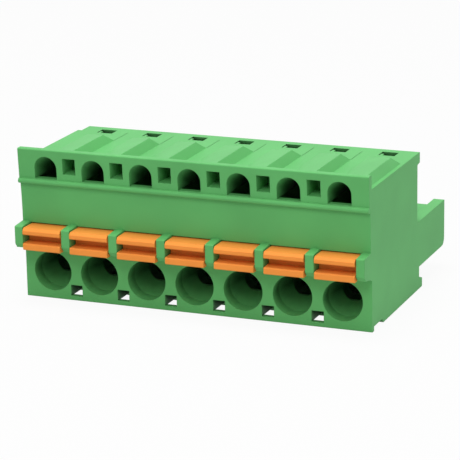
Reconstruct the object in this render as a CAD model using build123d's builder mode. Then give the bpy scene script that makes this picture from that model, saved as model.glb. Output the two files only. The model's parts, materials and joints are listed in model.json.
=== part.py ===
from build123d import *
import os

# A seven pole pluggable terminal block, in millimetres
# X runs along the poles, -Y is the wire side, +Z is up, and Z is 0 on the flat bottom
# A depth is measured back from the flat face that the wire holes open in

# Row of poles
POLES = 7
PITCH = 5.08
END_WALL = 0.4
EDGE_R = 0.12

# Wire face and the foot below it
WIRE_R = 2.015
WIRE_Z = 2.85
WIRE_BORE_L = 1.6
FUNNEL_L = 1.9
THROAT_R = 1.22
THROAT_RISE = 0.2
THROAT_FLAT = 1.1
FOOT_T = 0.6
GROOVE_H = 0.45
GROOVE_L = 2.4
GROOVE_RAMP = 0.4
FOOT_WINDOW_W = 1.245
FOOT_WINDOW_Z = 0.47
FOOT_WINDOW_H = 1.13
FOOT_WINDOW_L = 3.4

# Guards between the buttons
SHELF_T = 0.535
GUARD_W = 0.87
GUARD_REACH = 2.2
GUARD_TAPER_Z = 0.65
GUARD_BEVEL_Z = 0.2
GUARD_BEVEL_L = 0.35
SILL_REACH = 0.6
SILL_H = 0.27
CHANNEL_H = 2.43
CHANNEL_LIP_H = 0.12

# Buttons
SLIDE_GAP = 0.1
BUTTON_REACH = 2.4
BUTTON_SHOULDER = 3.0
BUTTON_TRAVEL = 1.2
JAW_SLOT_L = 1.45
JAW_LOWER_H = 0.7
JAW_SLOT_H = 0.85
JAW_BEVEL = 0.12
JAW_BROW = 0.25
TONGUE_INSET = 0.5
TONGUE_L = 4.3
TONGUE_DROP = 0.1
BARB_L = 1.0
BARB_REACH = 0.4
NECK_L = 0.8

# Band, bead and upper plate
BAND_REACH = 0.35
BAND_LEAN = 0.2
BAND_H = 4.13
BAND_HOLLOW = 0.04
BEAD_H = 0.36
BEAD_REACH = 0.5
PLATE_LEAN = 0.2
PLATE_T = 0.8
LIP_H = 1.37
HOOD_DROP = 0.5
HOOD_L = 2.8
HOOD_INSET = 0.95
ARCH_W = 2.38
ARCH_H = 2.27
ARCH_SILL_H = 0.06
TEST_L = 7.0
TEST_CEILING_L = 2.6
TEST_CEILING_DROP = 0.97
MARKER_W = 1.36
MARKER_H = 1.6
MARKER_SILL_H = 0.62
MARKER_L = 2.25
MARKER_CEILING_DROP = 0.9

# Roof
ROOF_Z = 14.1
POCKET_Y = 12.45
POCKET_LEFT = 0.6
POCKET_W = 1.66
POCKET_L = 1.4
POCKET_H = 1.0
POCKET_NIB_LEFT = 0.45
POCKET_NIB_W = 0.28
POCKET_NIB_L = 0.6
RIDGE_H = 0.9
RIDGE_LEFT = 1.24
RIDGE_APEX = 2.0
RIDGE_L = 9.8
RIDGE_END_SLANT = 1.81
RIDGE_END_SKEW = 0.445
SEAM_W = 0.07
SEAM_H = 0.04
SEAM_END = 13.3
LEFT_WALL_END = 12.87

# Rear wall and the plug that enters the header
REAR_Y = 14.05
EAVE_REACH = 0.75
EAVE_H = 1.15
EAVE_CHAMFER = 0.12
REAR_STEP = 0.7
RAIL_REACH = 1.0
RAIL_H = 0.9
RAIL_SLOPE_H = 0.35
PLUG_Z = 2.3
PLUG_H = 4.08
PLUG_L = 9.25
PLUG_CORNER_R = 0.8
KEY_H = 0.65
KEY_TOP_W = 1.36
KEY_END_W = 1.15
KEY_SLOPE = 45
PLUG_WALL = 0.8
PIN_WALL = 1.4
PIN_W = 1.5
PIN_FUNNEL = 0.35

# Chamber behind each pole
POLE_WALL = 0.98
FLOOR_T = 1.25
BAND_WALL = 0.65
REAR_WALL = 1.15

# Metal parts in each chamber
METAL_W = 2.6
CONTACT_T = 0.5
FORK_GAP = 0.05
FORK_PINCH = 0.7
FORK_TIP_L = 1.2
FORK_ARM_L = 6.5
SPRING_T = 0.3
SPRING_GAP = 0.3
SPRING_TIP_GAP = 0.2
SPRING_BEND_R = 1.3
LEG_SLOPE = 2.2

# Worked out from the sizes above
HALF_W = POLES * PITCH / 2 + END_WALL
POLE_X = [(k - (POLES - 1) / 2) * PITCH for k in range(POLES)]
GUARD_X = [x + PITCH / 2 for x in POLE_X[:-1]]
REAR_REACH = REAR_Y + PLUG_L
FACE_Y = (BUTTON_REACH - REAR_REACH) / 2

THROAT_Y = WIRE_BORE_L + FUNNEL_L
THROAT_Z = WIRE_Z + THROAT_RISE
THROAT_FLAT_Z = THROAT_Z - THROAT_FLAT
CHANNEL_Z = WIRE_Z + WIRE_R + SHELF_T
CHANNEL_TOP_Z = CHANNEL_Z + CHANNEL_H
FACE_TOP_Z = CHANNEL_Z - SILL_H
CHANNEL_W = PITCH - GUARD_W
CHANNEL_END = BUTTON_SHOULDER + BUTTON_TRAVEL + 2 * SLIDE_GAP
CHAMBER_Y = CHANNEL_END + NECK_L
CHAMBER_W = PITCH - POLE_WALL
CHAMBER_END = REAR_Y - REAR_WALL

BAND_Z = CHANNEL_TOP_Z + CHANNEL_LIP_H
BAND_TOP_Z = BAND_Z + BAND_H
BAND_TOP_REACH = BAND_REACH + BAND_LEAN
PLATE_Z = BAND_TOP_Z + BEAD_H
PLATE_REACH = BAND_TOP_REACH + PLATE_LEAN
LIP_Z = ROOF_Z + LIP_H
LIP_REACH = PLATE_REACH + PLATE_LEAN
PLATE_BACK = PLATE_T - LIP_REACH
TEST_Z = PLATE_Z + ARCH_SILL_H
MARKER_Z = TEST_Z + MARKER_SILL_H

EAVE_Y = REAR_Y + EAVE_REACH
EAVE_Z = ROOF_Z - EAVE_H
REAR_LOW_Y = REAR_Y + REAR_STEP
RAIL_Y = REAR_LOW_Y + RAIL_REACH
PLUG_TOP_Z = PLUG_Z + PLUG_H
PLUG_END = REAR_REACH
PIN_Z = PLUG_Z + PLUG_H / 2

BUTTON_W = CHANNEL_W - 2 * SLIDE_GAP
BUTTON_Z = CHANNEL_Z + SLIDE_GAP
BUTTON_TOP_Z = CHANNEL_TOP_Z - SLIDE_GAP
JAW_Z = BUTTON_Z + JAW_LOWER_H
JAW_SLOT_TOP_Z = JAW_Z + JAW_SLOT_H
JAW_SLOT_Y = JAW_SLOT_L - BUTTON_REACH
TONGUE_W = BUTTON_W - 2 * TONGUE_INSET
TONGUE_Z = BUTTON_Z + TONGUE_DROP
TONGUE_TOP_Z = BUTTON_TOP_Z - TONGUE_DROP
TONGUE_END = BUTTON_SHOULDER + TONGUE_L
BARB_Y = CHAMBER_Y + SLIDE_GAP

CONTACT_Z = FLOOR_T + CONTACT_T / 2
PLUG_HOLLOW_H = PLUG_H - 2 * PLUG_WALL
FORK_OPEN = PLUG_HOLLOW_H - CONTACT_T - 2 * FORK_GAP
FORK_THROAT = FORK_OPEN - FORK_PINCH
SPRING_WALL_Y = CHAMBER_END - SPRING_T / 2
SPRING_TOP_Z = TEST_Z - SLIDE_GAP - SPRING_T / 2
SPRING_KNEE_Y = TONGUE_END + SPRING_GAP
SPRING_TIP_Z = FLOOR_T + CONTACT_T + SPRING_TIP_GAP


def side(x=0.0):
    """Plane of a side profile: depth across, height up, extrusion towards +X."""
    return Plane(origin=(x, FACE_Y, 0), x_dir=(0, 1, 0), z_dir=(1, 0, 0))


def front(depth, x=0.0):
    """Plane seen from the wire side, at a depth: a negative extrusion goes in."""
    return Plane(origin=(x, FACE_Y + depth, 0), x_dir=(1, 0, 0), z_dir=(0, -1, 0))


def roof(z):
    """Level plane at a height, with X across and depth up the sketch."""
    return Plane(origin=(0, FACE_Y, z))


def arch(leg):
    """Outline of a test opening: a sill, two legs and a round head."""
    r = ARCH_W / 2
    with BuildSketch() as opening:
        with BuildLine():
            sill = Line((-r, TEST_Z), (r, TEST_Z))
            right = Line(sill @ 1, (r, TEST_Z + leg))
            head = ThreePointArc(right @ 1, (0, TEST_Z + leg + r), (-r, TEST_Z + leg))
            Line(head @ 1, sill @ 0)
        make_face()
    return opening.sketch


def save_row(part, name):
    """Write one copy of a part for each pole."""
    for number, x in enumerate(POLE_X, start=1):
        copy = part.moved(Location((x, 0, 0)))
        copy.label = f"{name}_{number}"
        export_step(copy, f"parts/{name}_{number}.step")


os.makedirs("parts", exist_ok=True)

# One roof ridge: a long low slope, a short steep one and a slanted, skewed end
RIDGE_END = Plane(
    origin=(PITCH / 2, FACE_Y + RIDGE_L, ROOF_Z),
    z_dir=(RIDGE_END_SKEW, 1, RIDGE_END_SLANT),
)
with BuildPart() as ridge:
    with BuildSketch(front(PLATE_BACK)):
        with BuildLine():
            Polyline(
                (-RIDGE_LEFT, ROOF_Z),
                (RIDGE_APEX, ROOF_Z + RIDGE_H),
                (PITCH / 2, ROOF_Z),
                close=True,
            )
        make_face()
    extrude(amount=PLATE_BACK - EAVE_Y)
    split(bisect_by=RIDGE_END, keep=Keep.BOTTOM)

# Housing, one moulding
with BuildPart() as housing:
    # Its outline from the side, the same along the whole row
    with BuildSketch(side(-HALF_W)) as outline:
        with BuildLine():
            front_line = Polyline(
                (0, 0),
                (0, FACE_TOP_Z),
                (-SILL_REACH, CHANNEL_Z),
                (GUARD_BEVEL_L - GUARD_REACH, CHANNEL_Z + GUARD_BEVEL_Z),
                (-GUARD_REACH, CHANNEL_Z + GUARD_TAPER_Z),
                (-GUARD_REACH, CHANNEL_TOP_Z),
                (-BAND_REACH, BAND_Z),
            )
            band = ThreePointArc(
                front_line @ 1,
                (BAND_HOLLOW - (BAND_REACH + BAND_TOP_REACH) / 2, BAND_Z + BAND_H / 2),
                (-BAND_TOP_REACH, BAND_TOP_Z),
            )
            bead = ThreePointArc(
                band @ 1,
                (-BAND_TOP_REACH - BEAD_REACH, BAND_TOP_Z + BEAD_H / 2),
                (-PLATE_REACH, PLATE_Z),
            )
            back_line = Polyline(
                bead @ 1,
                (-LIP_REACH, LIP_Z),
                (PLATE_BACK, LIP_Z),
                (PLATE_BACK, ROOF_Z),
                (EAVE_Y, ROOF_Z),
                (EAVE_Y, EAVE_Z + EAVE_CHAMFER),
                (REAR_Y, EAVE_Z),
                (REAR_Y, PLUG_TOP_Z),
                (PLUG_END, PLUG_TOP_Z),
                (PLUG_END, PLUG_Z + PLUG_CORNER_R),
            )
            corner = RadiusArc(back_line @ 1, (PLUG_END - PLUG_CORNER_R, PLUG_Z), PLUG_CORNER_R)
            Polyline(
                corner @ 1,
                (REAR_LOW_Y, PLUG_Z),
                (REAR_LOW_Y, RAIL_H + RAIL_SLOPE_H),
                (RAIL_Y, RAIL_H),
                (RAIL_Y, 0),
                (0, 0),
            )
        make_face()
        foot_corners = outline.vertices().group_by(Axis.Y)[0]
        lip_corners = outline.vertices().group_by(Axis.Y)[-1]
        guard_corners = outline.vertices().group_by(Axis.X)[0]
        fillet(foot_corners + lip_corners + guard_corners, EDGE_R)
    extrude(amount=2 * HALF_W)

    # Roof ridges and the seams between the modules of the row
    with Locations(*[(x, 0, 0) for x in POLE_X]):
        add(ridge.part)
    with BuildSketch(roof(ROOF_Z)):
        with Locations(*[(x, RIDGE_L) for x in GUARD_X]):
            Rectangle(SEAM_W, SEAM_END - RIDGE_L, align=(Align.CENTER, Align.MIN))
    extrude(amount=-SEAM_H, mode=Mode.SUBTRACT)

    # The left end wall stops short of the roof's rear edge
    with BuildSketch(roof(ROOF_Z)):
        with Locations((-HALF_W, LEFT_WALL_END)):
            Rectangle(END_WALL, EAVE_Y - LEFT_WALL_END, align=Align.MIN)
    extrude(amount=-EAVE_H, mode=Mode.SUBTRACT)

    # Sloping hood behind the lip, over the ceilings of the test openings
    with BuildSketch(side()):
        with BuildLine():
            Polyline(
                (PLATE_BACK, ROOF_Z),
                (PLATE_BACK, LIP_Z - HOOD_DROP),
                (PLATE_BACK + HOOD_L, ROOF_Z),
                close=True,
            )
        make_face()
    extrude(amount=HALF_W - HOOD_INSET, both=True)

    # Keying ribs along the top of the plug, between the poles and at each end
    with BuildSketch(front(PLUG_END)):
        with Locations(*[(x, PLUG_TOP_Z) for x in GUARD_X]):
            Trapezoid(KEY_TOP_W + 2 * KEY_H, KEY_H, KEY_SLOPE, align=(Align.CENTER, Align.MIN))
        for s in (-1, 1):
            with BuildLine():
                Polyline(
                    (s * HALF_W, PLUG_TOP_Z),
                    (s * (HALF_W - KEY_END_W - KEY_H), PLUG_TOP_Z),
                    (s * (HALF_W - KEY_END_W), PLUG_TOP_Z + KEY_H),
                    (s * HALF_W, PLUG_TOP_Z + KEY_H),
                    close=True,
                )
            make_face()
    extrude(amount=PLUG_L)

    # Groove under the whole row, behind the foot's front edge
    with BuildSketch(side()):
        with BuildLine():
            Polyline(
                (FOOT_T, 0),
                (FOOT_T, GROOVE_H),
                (FOOT_T + GROOVE_L, GROOVE_H),
                (FOOT_T + GROOVE_L + GROOVE_RAMP, 0),
                close=True,
            )
        make_face()
    extrude(amount=HALF_W, both=True, mode=Mode.SUBTRACT)

    # Wire holes: a straight bore, a funnel and a flat bottomed throat into the chamber
    with BuildSketch(front(0)):
        with Locations(*[(x, WIRE_Z) for x in POLE_X]):
            Circle(WIRE_R)
    extrude(amount=-WIRE_BORE_L, mode=Mode.SUBTRACT)
    for x in POLE_X:
        with BuildSketch(front(WIRE_BORE_L)):
            with Locations((x, WIRE_Z)):
                Circle(WIRE_R)
        with BuildSketch(front(THROAT_Y)):
            with Locations((x, THROAT_Z)):
                Circle(THROAT_R)
        loft(mode=Mode.SUBTRACT)
    with BuildSketch(front(THROAT_Y)):
        with Locations(*[(x, THROAT_Z) for x in POLE_X]):
            Circle(THROAT_R)
        with Locations(*[(x, THROAT_FLAT_Z) for x in POLE_X]):
            Rectangle(2 * THROAT_R, THROAT_R, align=(Align.CENTER, Align.MAX), mode=Mode.SUBTRACT)
    extrude(amount=THROAT_Y - CHAMBER_Y, mode=Mode.SUBTRACT)

    # Windows in the foot, open below behind its front edge
    with BuildSketch(*[side(x) for x in GUARD_X]):
        with BuildLine():
            Polyline(
                (0, FOOT_WINDOW_Z),
                (0, FOOT_WINDOW_Z + FOOT_WINDOW_H),
                (FOOT_WINDOW_L, FOOT_WINDOW_Z + FOOT_WINDOW_H),
                (FOOT_WINDOW_L, 0),
                (FOOT_T, 0),
                (FOOT_T, FOOT_WINDOW_Z),
                close=True,
            )
        make_face()
    extrude(amount=FOOT_WINDOW_W / 2, both=True, mode=Mode.SUBTRACT)

    # Button channels, open above in front of the band, with a narrower neck for the tongue
    with BuildSketch(front(-BUTTON_REACH)):
        with Locations(*[(x, CHANNEL_Z) for x in POLE_X]):
            Rectangle(CHANNEL_W, CHANNEL_H, align=(Align.CENTER, Align.MIN))
    extrude(amount=-BUTTON_REACH - CHANNEL_END, mode=Mode.SUBTRACT)
    with BuildSketch(front(-BUTTON_REACH)):
        with Locations(*[(x, CHANNEL_TOP_Z) for x in POLE_X]):
            Rectangle(CHANNEL_W, CHANNEL_LIP_H, align=(Align.CENTER, Align.MIN))
    extrude(amount=BAND_REACH - BUTTON_REACH, mode=Mode.SUBTRACT)
    with BuildSketch(front(CHANNEL_END)):
        with Locations(*[(x, (TONGUE_Z + TONGUE_TOP_Z) / 2) for x in POLE_X]):
            Rectangle(TONGUE_W + 2 * SLIDE_GAP, TONGUE_TOP_Z - TONGUE_Z + 2 * SLIDE_GAP)
    extrude(amount=-NECK_L, mode=Mode.SUBTRACT)

    # Chambers: the wire space at the back and the test space over the button
    with BuildSketch(*[side(x) for x in POLE_X]):
        with BuildLine():
            Polyline(
                (CHAMBER_Y, FLOOR_T),
                (CHAMBER_END, FLOOR_T),
                (CHAMBER_END, TEST_Z),
                (BAND_WALL - BAND_TOP_REACH, TEST_Z),
                (BAND_WALL - BAND_TOP_REACH, CHANNEL_TOP_Z + SHELF_T),
                (CHAMBER_Y, CHANNEL_TOP_Z + SHELF_T),
                close=True,
            )
        make_face()
    extrude(amount=CHAMBER_W / 2, both=True, mode=Mode.SUBTRACT)

    # Test openings: an arch in the plate whose head slopes down to clear the roof
    arch_leg = ARCH_H - ARCH_W / 2
    for x in POLE_X:
        with BuildSketch(front(-LIP_REACH - BEAD_REACH, x)):
            add(arch(arch_leg))
        extrude(amount=PLATE_REACH - LIP_REACH - BEAD_REACH, mode=Mode.SUBTRACT)
        with BuildSketch(front(-PLATE_REACH, x)):
            add(arch(arch_leg))
        with BuildSketch(front(TEST_CEILING_L, x)):
            add(arch(arch_leg - TEST_CEILING_DROP))
        loft(mode=Mode.SUBTRACT)
        with BuildSketch(front(TEST_CEILING_L, x)):
            add(arch(arch_leg - TEST_CEILING_DROP))
        extrude(amount=TEST_CEILING_L - TEST_L, mode=Mode.SUBTRACT)

    # Marker sockets between them, blind, with a sloping ceiling too
    with BuildSketch(front(-LIP_REACH - BEAD_REACH)):
        with Locations(*[(x, MARKER_Z) for x in GUARD_X]):
            Rectangle(MARKER_W, MARKER_H, align=(Align.CENTER, Align.MIN))
    extrude(amount=PLATE_REACH - LIP_REACH - BEAD_REACH, mode=Mode.SUBTRACT)
    with BuildSketch(*[side(x) for x in GUARD_X]):
        with BuildLine():
            Polyline(
                (-PLATE_REACH, MARKER_Z),
                (MARKER_L, MARKER_Z),
                (MARKER_L, MARKER_Z + MARKER_H - MARKER_CEILING_DROP),
                (-PLATE_REACH, MARKER_Z + MARKER_H),
                close=True,
            )
        make_face()
    extrude(amount=MARKER_W / 2, both=True, mode=Mode.SUBTRACT)

    # Pockets along the rear of the roof, each with a small nib in its front edge
    with BuildSketch(roof(ROOF_Z)):
        with Locations(*[(x - POCKET_LEFT, POCKET_Y) for x in POLE_X]):
            Rectangle(POCKET_W, POCKET_L, align=Align.MIN)
        with Locations(*[(x - POCKET_NIB_LEFT, POCKET_Y) for x in POLE_X]):
            Rectangle(POCKET_NIB_W, POCKET_NIB_L, align=Align.MIN, mode=Mode.SUBTRACT)
    extrude(amount=-POCKET_H, mode=Mode.SUBTRACT)

    # Contact spaces inside the plug and the funnelled openings for the pins
    with BuildSketch(front(CHAMBER_END)):
        with Locations(*[(x, PIN_Z) for x in POLE_X]):
            Rectangle(CHAMBER_W - 2 * PLUG_WALL + POLE_WALL, PLUG_HOLLOW_H)
    extrude(amount=CHAMBER_END + PIN_WALL - PLUG_END, mode=Mode.SUBTRACT)
    with BuildSketch(front(PLUG_END)):
        with Locations(*[(x, PIN_Z) for x in POLE_X]):
            Rectangle(PIN_W, PIN_W)
    extrude(amount=PIN_WALL, mode=Mode.SUBTRACT)
    for x in POLE_X:
        with BuildSketch(front(PLUG_END)):
            with Locations((x, PIN_Z)):
                Rectangle(PIN_W + 2 * PIN_FUNNEL, PIN_W + 2 * PIN_FUNNEL)
        with BuildSketch(front(PLUG_END - PIN_FUNNEL)):
            with Locations((x, PIN_Z)):
                Rectangle(PIN_W, PIN_W)
        loft(mode=Mode.SUBTRACT)

housing.part.label = "housing"
export_step(housing.part, "parts/housing.step")

# Release button: two jaws with a screwdriver slot between them, and a tongue behind
with BuildPart() as button:
    with BuildSketch(side()):
        with BuildLine():
            Polyline(
                (BUTTON_SHOULDER, BUTTON_Z),
                (JAW_BEVEL - BUTTON_REACH, BUTTON_Z),
                (-BUTTON_REACH, BUTTON_Z + JAW_BEVEL),
                (-BUTTON_REACH, JAW_Z - JAW_BEVEL),
                (JAW_BEVEL - BUTTON_REACH, JAW_Z),
                (JAW_SLOT_Y, JAW_Z),
                (JAW_SLOT_Y, JAW_SLOT_TOP_Z),
                (JAW_BEVEL - BUTTON_REACH, JAW_SLOT_TOP_Z),
                (-BUTTON_REACH, JAW_SLOT_TOP_Z + JAW_BEVEL),
                (-BUTTON_REACH, BUTTON_TOP_Z - JAW_BROW),
                (JAW_BROW - BUTTON_REACH, BUTTON_TOP_Z),
                (BUTTON_SHOULDER, BUTTON_TOP_Z),
                close=True,
            )
        make_face()
    extrude(amount=BUTTON_W / 2, both=True)
    with BuildSketch(side()):
        with Locations((BUTTON_SHOULDER, TONGUE_Z)):
            Rectangle(TONGUE_L, TONGUE_TOP_Z - TONGUE_Z, align=(Align.MIN, Align.MIN))
    extrude(amount=TONGUE_W / 2, both=True)
    # Barbs that hold the button in, behind the neck of its channel
    with BuildSketch(roof(TONGUE_Z)):
        with BuildLine():
            Polyline(
                (-TONGUE_W / 2 - BARB_REACH, BARB_Y),
                (TONGUE_W / 2 + BARB_REACH, BARB_Y),
                (TONGUE_W / 2, BARB_Y + BARB_L),
                (-TONGUE_W / 2, BARB_Y + BARB_L),
                close=True,
            )
        make_face()
    extrude(amount=TONGUE_TOP_Z - TONGUE_Z)

save_row(button.part, "release_button")

# Contact: a bar under the wire, a riser, and two arms that grip the header's pin
fork_y = PLUG_END - PIN_WALL - SLIDE_GAP
riser_y = CHAMBER_END - CONTACT_T - SLIDE_GAP
with BuildPart() as contact:
    with BuildSketch(side()):
        for arm in (-1, 1):
            with BuildLine():
                FilletPolyline(
                    (CHAMBER_Y + SLIDE_GAP, CONTACT_Z),
                    (riser_y - CONTACT_T, CONTACT_Z),
                    (riser_y, PIN_Z + arm * FORK_OPEN / 2),
                    (fork_y - FORK_ARM_L, PIN_Z + arm * FORK_OPEN / 2),
                    (fork_y - FORK_TIP_L, PIN_Z + arm * FORK_THROAT / 2),
                    (fork_y, PIN_Z + arm * FORK_OPEN / 2),
                    radius=CONTACT_T,
                )
            trace(line_width=CONTACT_T)
    extrude(amount=METAL_W / 2, both=True)

save_row(contact.part, "contact")

# Clamp spring: held by the rear wall, bent over the top and down to the bar
with BuildPart() as spring:
    with BuildSketch(side()):
        with BuildLine():
            FilletPolyline(
                (SPRING_WALL_Y, PLUG_TOP_Z),
                (SPRING_WALL_Y, SPRING_TOP_Z),
                (SPRING_KNEE_Y + SPRING_BEND_R / 2, SPRING_TOP_Z),
                (SPRING_KNEE_Y, TONGUE_TOP_Z + SPRING_BEND_R / 2),
                (SPRING_KNEE_Y + LEG_SLOPE, SPRING_TIP_Z),
                radius=SPRING_BEND_R,
            )
        trace(line_width=SPRING_T)
    extrude(amount=METAL_W / 2, both=True)

save_row(spring.part, "clamp_spring")
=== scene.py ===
import json
import math

import bpy
from mathutils import Matrix, Vector


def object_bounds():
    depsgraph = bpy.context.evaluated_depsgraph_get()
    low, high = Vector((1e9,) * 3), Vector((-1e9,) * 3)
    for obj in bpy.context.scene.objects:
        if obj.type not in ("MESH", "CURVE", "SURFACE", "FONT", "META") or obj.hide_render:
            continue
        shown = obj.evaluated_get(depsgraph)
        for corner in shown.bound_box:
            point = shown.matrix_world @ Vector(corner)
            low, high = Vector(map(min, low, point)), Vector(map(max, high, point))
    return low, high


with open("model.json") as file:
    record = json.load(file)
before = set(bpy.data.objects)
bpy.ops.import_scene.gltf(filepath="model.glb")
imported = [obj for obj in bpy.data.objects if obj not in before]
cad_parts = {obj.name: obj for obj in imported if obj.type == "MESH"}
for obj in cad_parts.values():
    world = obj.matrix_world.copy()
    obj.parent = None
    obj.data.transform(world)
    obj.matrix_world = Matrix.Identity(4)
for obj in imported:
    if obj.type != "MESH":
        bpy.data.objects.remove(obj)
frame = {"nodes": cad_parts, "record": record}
cad_low, cad_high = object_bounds()

MM = 0.001
WHITE = (1, 1, 1, 1)

# The poles repeat along X, with the middle one at X = 0
PITCH = 5.08 * MM

# The wire face lies this far behind the front of the buttons
BUTTON_REACH = 2.4 * MM
FACE_Y = cad_low.y + BUTTON_REACH

# The camera, solved on the photograph's hole rims, edges and corners
# Its place is in millimetres from the foot of the wire face, with X from the middle pole
# Its angles are in degrees
CAMERA_FROM_FACE = (85.64, -200.9, 71.06)
CAMERA_AZIMUTH = 22.156
CAMERA_ELEVATION = 16.007
CAMERA_ROLL = -1.018
FOCAL_PX = 2353.745
FRAME_PX = 460
SENSOR_MM = 36.0
CLIP_START = 0.01
CLIP_END = 10

# The floor's own colour, and how much of it the camera sees as plain white
FLOOR_SIZE = 6
FLOOR_COLOUR = (0.6, 0.6, 0.6, 1)
FLOOR_GLOW = 0.94

# Light from all round, and square lamps with their place, width and power in watts
WORLD_STRENGTH = 0.48
LAMPS = {
    "overhead": ((-0.02, 0.0, 0.30), 0.12, 0.58),
    "front": ((0.05, -0.20, 0.20), 0.10, 0.21),
    "side": ((0.30, -0.02, 0.05), 0.15, 0.11),
}

# Colours of the finishes, and the radius that softens the moulded edges
GREEN = (0.125, 0.46, 0.143)
ORANGE = (0.97, 0.32, 0.058)
TIN = (0.72, 0.71, 0.68)
STEEL = (0.58, 0.58, 0.57)
HOUSING_EDGE = 0.09 * MM
BUTTON_EDGE = 0.05 * MM

# Noise runs from its dark tone to its pale one between these values
TONE_STOPS = (0.3, 0.7)
RAY_SAMPLES = 6

# Moulded plastic: a slow drift of its tone, in cycles per metre, and a fine grain
PLASTIC_NOISE = 0.55
PLASTIC_GLOSS = 0.1
PLASTIC_ROUGH = (0.42, 0.56)
DRIFT_SCALE = 160
DRIFT_DETAIL = 2
DRIFT_DARK = 0.95
DRIFT_PALE = 1.05
GRAIN_SIZE = 0.12 * MM
GRAIN_DETAIL = 4
GRAIN_DEPTH = 0.004 * MM
GRAIN_BUMP = 0.25

# Its edges get a painted highlight, a little paler, where the softened normal turns away from the
# face's own
# The turn is its cosine where the painted highlight starts, and where it is full
EDGE_TURN = (0.995, 0.80)
EDGE_SHARE = 0.22
EDGE_HIGHLIGHT_PALE = 1.25
EDGE_LIFT = 0.04

# Rolled strip: streaks that are long along the strip, in cycles per metre
STREAK_SCALE = (9000, 500, 500)
STREAK_DETAIL = 3
STREAK_DARK = 0.85
STREAK_DEPTH = 0.003 * MM
STREAK_BUMP = 0.2
STRIP_ROUGH = (0.22, 0.38)

# Hollows get painted shade, darker than the faces round them, down to this share of the colour
# The painted shade is full where the open share of the space in reach is the first of these, and
# gone at the second
HOLLOW_PAINTED_SHADE = 0.03
HOLLOW_REACH = 4.0 * MM
HOLLOW_OPEN = (0.25, 0.66)

# The painted shade grows from its least at the front to full at the back, both measured from the
# wire face
# Both lie further back the higher up they are, and floors take only a small share of it
HOLLOW_FRONT = -3.0 * MM
HOLLOW_BACK = 1.8 * MM
HOLLOW_LEAST = 0.25
HOLLOW_RISE = 0.2
HOLLOW_FLOOR = 0.1

# Past the funnels of the wire holes the painted shade takes its full share, floors too
INSIDE_FRONT = 3.3 * MM
INSIDE_BACK = 3.7 * MM
INSIDE_TOP = 8.0 * MM

# The marker sockets, halfway between the poles in the upper plate, get no painted shade
SOCKET_BOTTOM = 12.5 * MM
SOCKET_EDGE = 0.5


def make_camera():
    """The photograph's camera, with no shift and no depth of field."""
    azimuth = math.radians(CAMERA_AZIMUTH)
    elevation = math.radians(CAMERA_ELEVATION)
    roll = math.radians(CAMERA_ROLL)
    forward = Vector((
        -math.sin(azimuth) * math.cos(elevation),
        math.cos(azimuth) * math.cos(elevation),
        -math.sin(elevation),
    ))
    right = Vector((math.cos(azimuth), math.sin(azimuth), 0))
    down = forward.cross(right)
    across = math.cos(roll) * right - math.sin(roll) * down
    up = -(math.sin(roll) * right + math.cos(roll) * down)
    turn = Matrix((across, up, -forward)).transposed()
    place = Vector(CAMERA_FROM_FACE) * MM + Vector((0, FACE_Y, 0))

    data = bpy.data.cameras.new("camera")
    data.sensor_width = SENSOR_MM
    data.lens = FOCAL_PX / FRAME_PX * SENSOR_MM
    data.clip_start = CLIP_START
    data.clip_end = CLIP_END
    camera = bpy.data.objects.new("camera", data)
    camera.matrix_world = Matrix.Translation(place) @ turn.to_4x4()
    bpy.context.scene.collection.objects.link(camera)
    bpy.context.scene.camera = camera


class Nodes:
    """The node tree of a material or a world, with short ways to add to it."""

    def __init__(self, owner, output):
        owner.use_nodes = True
        self.owner = owner
        self.tree = owner.node_tree
        self.tree.nodes.clear()
        self.output = self.add(output)

    def feed(self, target, value):
        """Links a socket to an input, or sets the input to a number, vector or colour."""
        if isinstance(value, bpy.types.NodeSocket):
            self.tree.links.new(value, target)
        else:
            target.default_value = value

    def add(self, kind, inputs=None, **settings):
        """New node with these settings, and its inputs fed by name or by number."""
        node = self.tree.nodes.new(kind)
        for key, value in settings.items():
            setattr(node, key, value)
        for key, value in (inputs or {}).items():
            self.feed(node.inputs[key], value)
        return node

    def maths(self, operation, *values):
        """Result of one Math node on sockets and numbers."""
        node = self.add("ShaderNodeMath", dict(enumerate(values)), operation=operation)
        return node.outputs["Value"]

    def dot(self, first, second):
        """Dot product of a vector socket and another one or a triple."""
        node = self.add("ShaderNodeVectorMath", {0: first, 1: second}, operation="DOT_PRODUCT")
        return node.outputs["Value"]

    def ranged(self, factor, source, target, curve="LINEAR"):
        """Maps a factor from one range of values to another, and holds it at their ends."""
        inputs = {
            "Value": factor,
            "From Min": source[0],
            "From Max": source[1],
            "To Min": target[0],
            "To Max": target[1],
        }
        return self.add("ShaderNodeMapRange", inputs, interpolation_type=curve).outputs["Result"]

    def tones(self, factor, dark, pale):
        """Colour of a noise, from its dark tone to its pale one."""
        ramp = self.add("ShaderNodeValToRGB", {"Fac": factor})
        for element, position, colour in zip(ramp.color_ramp.elements, TONE_STOPS, (dark, pale)):
            element.position = position
            element.color = (*colour, 1)
        return ramp.outputs["Color"]

    def mixed(self, factor, socket, colour):
        """Mix of a colour socket and an RGB triple."""
        inputs = {"Factor": factor, "A": socket, "B": (*colour, 1)}
        return self.add("ShaderNodeMix", inputs, data_type="RGBA").outputs["Result"]

    def mixed_shaders(self, factor, first, second):
        """Mix of two shader sockets."""
        return self.add("ShaderNodeMixShader", {0: factor, 1: first, 2: second}).outputs["Shader"]

    def seen_ray(self):
        """1 for rays that the camera sees straight, mirrored or through glass, and 0 for light."""
        path = self.add("ShaderNodeLightPath").outputs
        seen = path["Is Camera Ray"]
        for name in ("Is Glossy Ray", "Is Transmission Ray"):
            seen = self.maths("MAXIMUM", seen, path[name])
        return seen

    def finish(self, shader):
        """Sends a shader to the output, and returns the material or world."""
        self.feed(self.output.inputs["Surface"], shader)
        return self.owner


def new_material(name):
    """Empty node tree of a new material."""
    return Nodes(bpy.data.materials.new(name), "ShaderNodeOutputMaterial")


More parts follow.
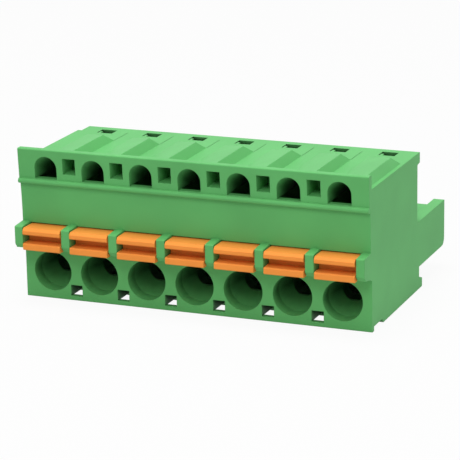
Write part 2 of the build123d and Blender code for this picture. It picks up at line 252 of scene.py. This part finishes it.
def toned(colour, share, lift=0.0):
    """The colour times a share, plus a lift, with no channel over 1."""
    return tuple(min(1, channel * share + lift) for channel in colour)


def painted_hollow_shade(n, place):
    """How much painted shade a hollow gets: 0 on open faces, up to 1 deep inside."""
    inputs = {"Distance": HOLLOW_REACH}
    around = n.add("ShaderNodeAmbientOcclusion", inputs, samples=RAY_SAMPLES, only_local=True)
    enclosed = n.ranged(around.outputs["AO"], HOLLOW_OPEN, (1, 0))
    spot = n.add("ShaderNodeSeparateXYZ", {"Vector": place["Object"]}).outputs
    facing = n.add("ShaderNodeSeparateXYZ", {"Vector": place["Normal"]}).outputs

    inwards = n.dot(place["Object"], (0, 1, -HOLLOW_RISE))
    entry = (FACE_Y + HOLLOW_FRONT, FACE_Y + HOLLOW_BACK)
    depth = n.ranged(inwards, entry, (HOLLOW_LEAST, 1), curve="SMOOTHSTEP")
    # Floors facing up get only a small share of the painted shade
    off_floor = n.ranged(facing["Z"], (0, 1), (1, HOLLOW_FLOOR))
    near = n.maths("MULTIPLY", depth, off_floor)

    wave = n.maths("COSINE", n.maths("MULTIPLY", spot["X"], 2 * math.pi / PITCH))
    between_poles = n.ranged(wave, (0, -SOCKET_EDGE), (0, 1))
    in_plate = n.maths("GREATER_THAN", spot["Z"], cad_low.z + SOCKET_BOTTOM)
    off_sockets = n.maths("SUBTRACT", 1, n.maths("MULTIPLY", between_poles, in_plate))

    past_funnel = n.ranged(spot["Y"], (FACE_Y + INSIDE_FRONT, FACE_Y + INSIDE_BACK), (0, 1))
    low_down = n.maths("LESS_THAN", spot["Z"], cad_low.z + INSIDE_TOP)
    inside = n.maths("MULTIPLY", past_funnel, low_down)

    share = n.maths("MAXIMUM", n.maths("MULTIPLY", near, off_sockets), inside)
    return n.maths("MULTIPLY", enclosed, share)


def moulded_plastic(name, colour, edge_radius):
    """Satin moulded plastic: fine grain, slow drift of its tone, soft edges with a painted
    highlight, and painted shade in its hollows.
    """
    n = new_material(name)
    place = n.add("ShaderNodeTexCoord").outputs

    soft = n.add("ShaderNodeBevel", {"Radius": edge_radius}, samples=RAY_SAMPLES).outputs["Normal"]
    flat = n.add("ShaderNodeNewGeometry").outputs["Normal"]
    # Paler line along the edges: a painted highlight
    edge_highlight = n.ranged(n.dot(soft, flat), EDGE_TURN, (0, EDGE_SHARE))

    drift = n.add("ShaderNodeTexNoise", {
        "Vector": place["Object"],
        "Scale": DRIFT_SCALE,
        "Detail": DRIFT_DETAIL,
        "Roughness": PLASTIC_NOISE,
    })
    body = n.tones(drift.outputs["Fac"], toned(colour, DRIFT_DARK), toned(colour, DRIFT_PALE))
    with_edge_highlight = n.mixed(edge_highlight, body, toned(colour, EDGE_HIGHLIGHT_PALE, EDGE_LIFT))
    # Painted shade in the hollows, down to a dark share of the colour
    with_painted_shade = n.mixed(painted_hollow_shade(n, place), with_edge_highlight, toned(colour, HOLLOW_PAINTED_SHADE))

    grain = n.add("ShaderNodeTexNoise", {
        "Vector": place["Object"],
        "Scale": 1 / GRAIN_SIZE,
        "Detail": GRAIN_DETAIL,
        "Roughness": PLASTIC_NOISE,
    })
    bump = n.add("ShaderNodeBump", {
        "Strength": GRAIN_BUMP,
        "Distance": GRAIN_DEPTH,
        "Height": grain.outputs["Fac"],
        "Normal": soft,
    })
    shader = n.add("ShaderNodeBsdfPrincipled", {
        "Base Color": with_painted_shade,
        "Roughness": n.ranged(grain.outputs["Fac"], (0, 1), PLASTIC_ROUGH),
        "Specular IOR Level": PLASTIC_GLOSS,
        "Normal": bump.outputs["Normal"],
    })
    return n.finish(shader.outputs["BSDF"])


def sheet_metal(name, colour):
    """Rolled strip: streaks along the strip in its tone, gloss and relief."""
    n = new_material(name)
    place = n.add("ShaderNodeTexCoord").outputs["Object"]
    stretched = n.add("ShaderNodeMapping", {"Vector": place, "Scale": STREAK_SCALE})
    streak = n.add("ShaderNodeTexNoise", {
        "Vector": stretched.outputs["Vector"],
        "Scale": 1,
        "Detail": STREAK_DETAIL,
    }).outputs["Fac"]
    bump = n.add("ShaderNodeBump", {
        "Strength": STREAK_BUMP,
        "Distance": STREAK_DEPTH,
        "Height": streak,
    })
    shader = n.add("ShaderNodeBsdfPrincipled", {
        "Base Color": n.tones(streak, toned(colour, STREAK_DARK), colour),
        "Metallic": 1,
        "Roughness": n.ranged(streak, (0, 1), STRIP_ROUGH),
        "Normal": bump.outputs["Normal"],
    })
    return n.finish(shader.outputs["BSDF"])


def dress(node, material):
    """Puts a material on every slot of a CAD node."""
    for slot in frame["nodes"][node].material_slots:
        slot.material = material


def make_floor():
    """A pale floor on which the block stands, almost white to the camera, with the shadow kept."""
    bpy.ops.mesh.primitive_plane_add(size=FLOOR_SIZE, location=(0, 0, cad_low.z))
    floor = bpy.context.object
    floor.name = "floor"
    n = new_material("pale_floor")
    matt = n.add("ShaderNodeBsdfDiffuse", {"Color": FLOOR_COLOUR}).outputs["BSDF"]
    glow = n.add("ShaderNodeEmission", {"Color": WHITE}).outputs["Emission"]
    share = n.maths("MULTIPLY", n.seen_ray(), FLOOR_GLOW)
    floor.data.materials.append(n.finish(n.mixed_shaders(share, matt, glow)))


def make_world():
    """Soft even light from all round, and white behind the object."""
    n = Nodes(bpy.data.worlds.new("studio"), "ShaderNodeOutputWorld")
    light = n.add("ShaderNodeBackground", {"Color": WHITE, "Strength": WORLD_STRENGTH})
    white = n.add("ShaderNodeBackground", {"Color": WHITE, "Strength": 1})
    shown = n.mixed_shaders(n.seen_ray(), light.outputs["Background"], white.outputs["Background"])
    bpy.context.scene.world = n.finish(shown)


def make_lamp(name, place, width, power):
    """A square soft lamp that looks at the object's middle."""
    data = bpy.data.lights.new(name, "AREA")
    data.shape = "SQUARE"
    data.size = width
    data.energy = power
    lamp = bpy.data.objects.new(name, data)
    lamp.location = place
    aim = (cad_low + cad_high) / 2 - Vector(place)
    lamp.rotation_mode = "QUATERNION"
    lamp.rotation_quaternion = aim.to_track_quat("-Z", "Y")
    bpy.context.scene.collection.objects.link(lamp)


make_camera()
make_floor()
make_world()
for name, (place, width, power) in LAMPS.items():
    make_lamp(name, place, width, power)

# One material for each slot that the record names
materials = {
    "housing_green": moulded_plastic("housing_green", GREEN, HOUSING_EDGE),
    "button_orange": moulded_plastic("button_orange", ORANGE, BUTTON_EDGE),
    "contact_tin": sheet_metal("contact_tin", TIN),
    "spring_steel": sheet_metal("spring_steel", STEEL),
}
for part in frame["record"]["subparts"]:
    dress(part["node"], materials[part["material_slot"]])

bpy.context.scene.view_settings.view_transform = "Standard"
